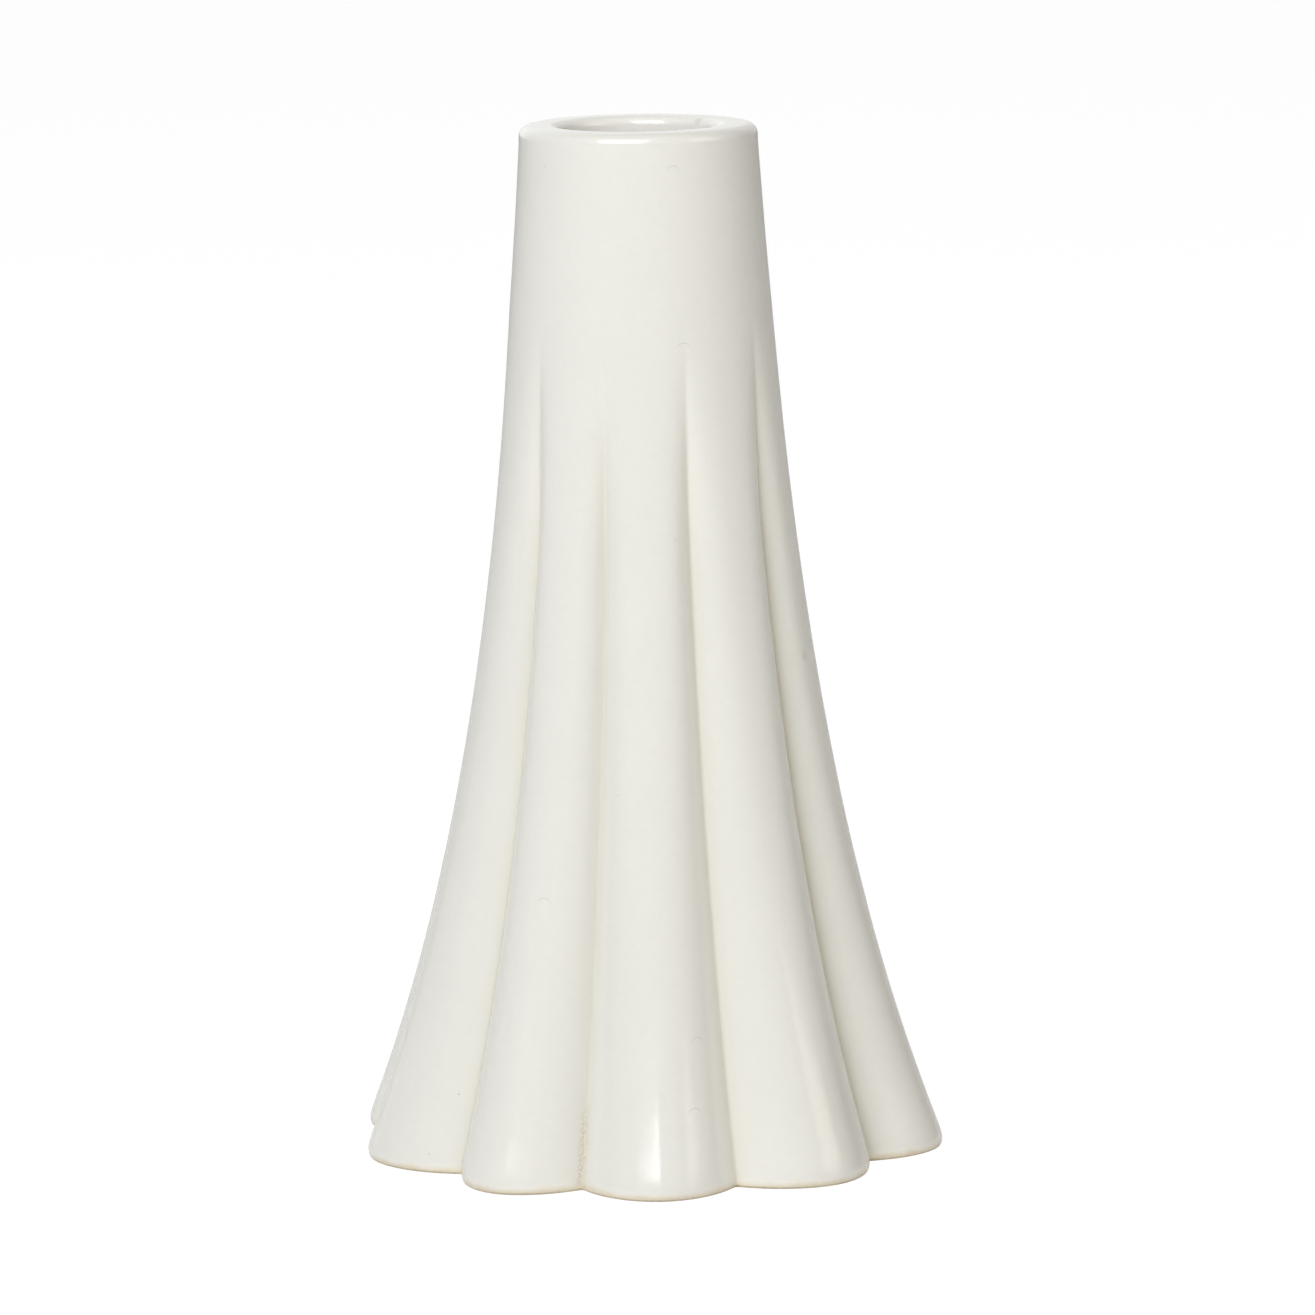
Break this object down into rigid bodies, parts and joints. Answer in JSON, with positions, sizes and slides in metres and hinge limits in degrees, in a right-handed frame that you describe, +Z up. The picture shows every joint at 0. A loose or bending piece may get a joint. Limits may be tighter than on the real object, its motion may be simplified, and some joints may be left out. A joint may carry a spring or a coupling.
{
  "type": "bud vase",
  "caption": "Slender fluted ceramic bud vase that flares to a scalloped foot, with a plain round neck and a rolled lip, for one or two stems.",
  "frame": {"origin": "centre of the foot, on the table plane that the foot ring stands on", "axes": "+Z up through the mouth; a flute crest faces -Y"},
  "size_m": [0.0844, 0.0873, 0.15],
  "materials": {
    "bare_stoneware": "bare fired clay, wiped and matt",
    "satin_white_glaze": "satin off-white glaze, warmer where it thins",
    "liner_glaze": "satin off-white liner glaze"
  },
  "bodies": {
    "root": {"stoneware_body": "bare_stoneware", "outer_glaze": "satin_white_glaze", "inner_glaze": "liner_glaze"}
  },
  "joints": []
}
